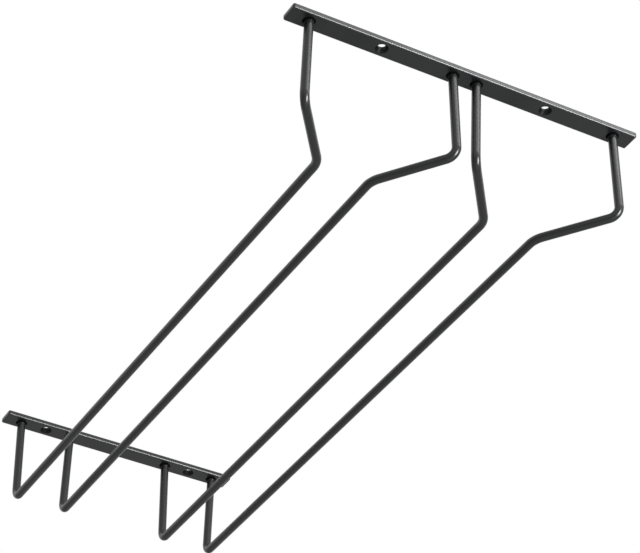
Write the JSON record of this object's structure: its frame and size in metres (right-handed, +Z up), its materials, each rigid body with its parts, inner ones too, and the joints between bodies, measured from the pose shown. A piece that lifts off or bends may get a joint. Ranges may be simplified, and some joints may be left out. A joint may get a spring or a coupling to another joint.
{
  "type": "hanging wine glass rack",
  "caption": "Under-shelf stemware rack: flat drilled steel straps at front and rear carry bent round rods that form lanes with flared open mouths for hanging glasses by the foot.",
  "frame": {"origin": "middle of the front strap's flat top face, the face that lies against the shelf", "axes": "+Z up, out of the strap's top face; the open mouth where glasses enter faces -Y and the lanes run back along +Y; +X to the right seen from the front"},
  "size_m": [0.218, 0.4505, 0.0626],
  "materials": {
    "strap_coat": "satin black powder coat on mild steel flat bar",
    "rod_coat": "satin black powder coat on round steel wire",
    "weld_coat": "satin black powder coat over a fillet weld"
  },
  "bodies": {
    "root": {"front_strap": "strap_coat", "rear_strap": "strap_coat", "rod_left_outer": "rod_coat", "rod_left_inner": "rod_coat", "rod_right_inner": "rod_coat", "rod_right_outer": "rod_coat", "weld_front_left_outer": "weld_coat", "weld_rear_left_outer": "weld_coat", "weld_front_left_inner": "weld_coat", "weld_rear_left_inner": "weld_coat", "weld_front_right_inner": "weld_coat", "weld_rear_right_inner": "weld_coat", "weld_front_right_outer": "weld_coat", "weld_rear_right_outer": "weld_coat"}
  },
  "joints": []
}
